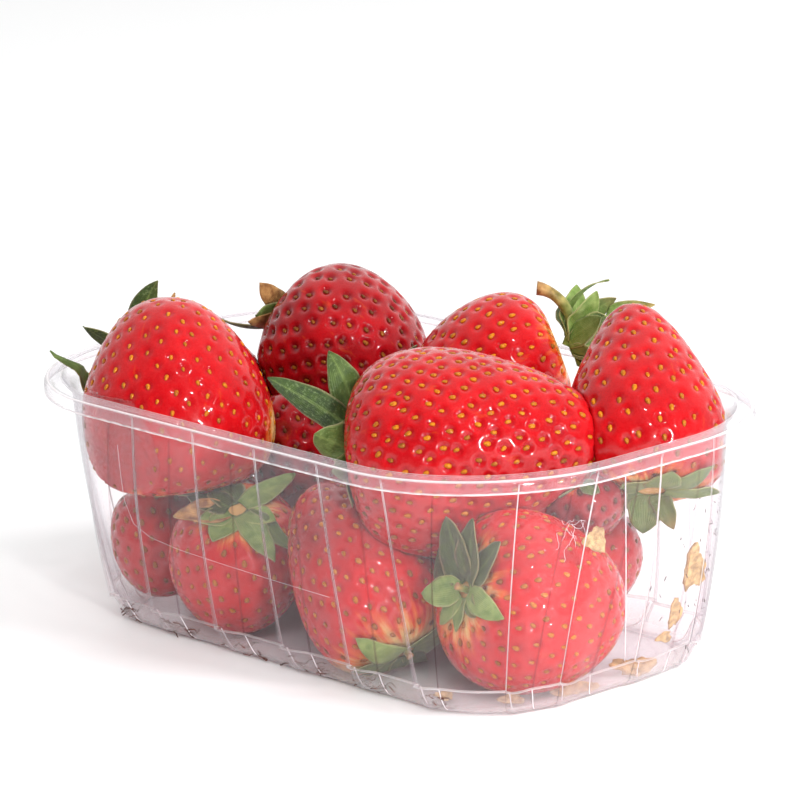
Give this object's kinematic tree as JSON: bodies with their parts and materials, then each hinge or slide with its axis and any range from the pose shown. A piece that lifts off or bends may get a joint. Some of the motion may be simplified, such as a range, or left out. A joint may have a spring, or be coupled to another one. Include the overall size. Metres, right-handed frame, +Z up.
{
  "type": "punnet of strawberries",
  "caption": "Clear ribbed plastic punnet with a rolled rim and a stepped foot, heaped above its rim with ripe strawberries.",
  "frame": {"origin": "middle of the flat base, on the surface that the punnet rests on", "axes": "+Z up, +X along the punnet's long side, +Y across it"},
  "size_m": [0.19, 0.118, 0.086],
  "materials": {
    "clear_plastic": "clear, glossy and faintly milky; thin formed film",
    "berry_red": null
  },
  "bodies": {
    "root": {"punnet": "clear_plastic", "berries": "berry_red"}
  },
  "joints": []
}
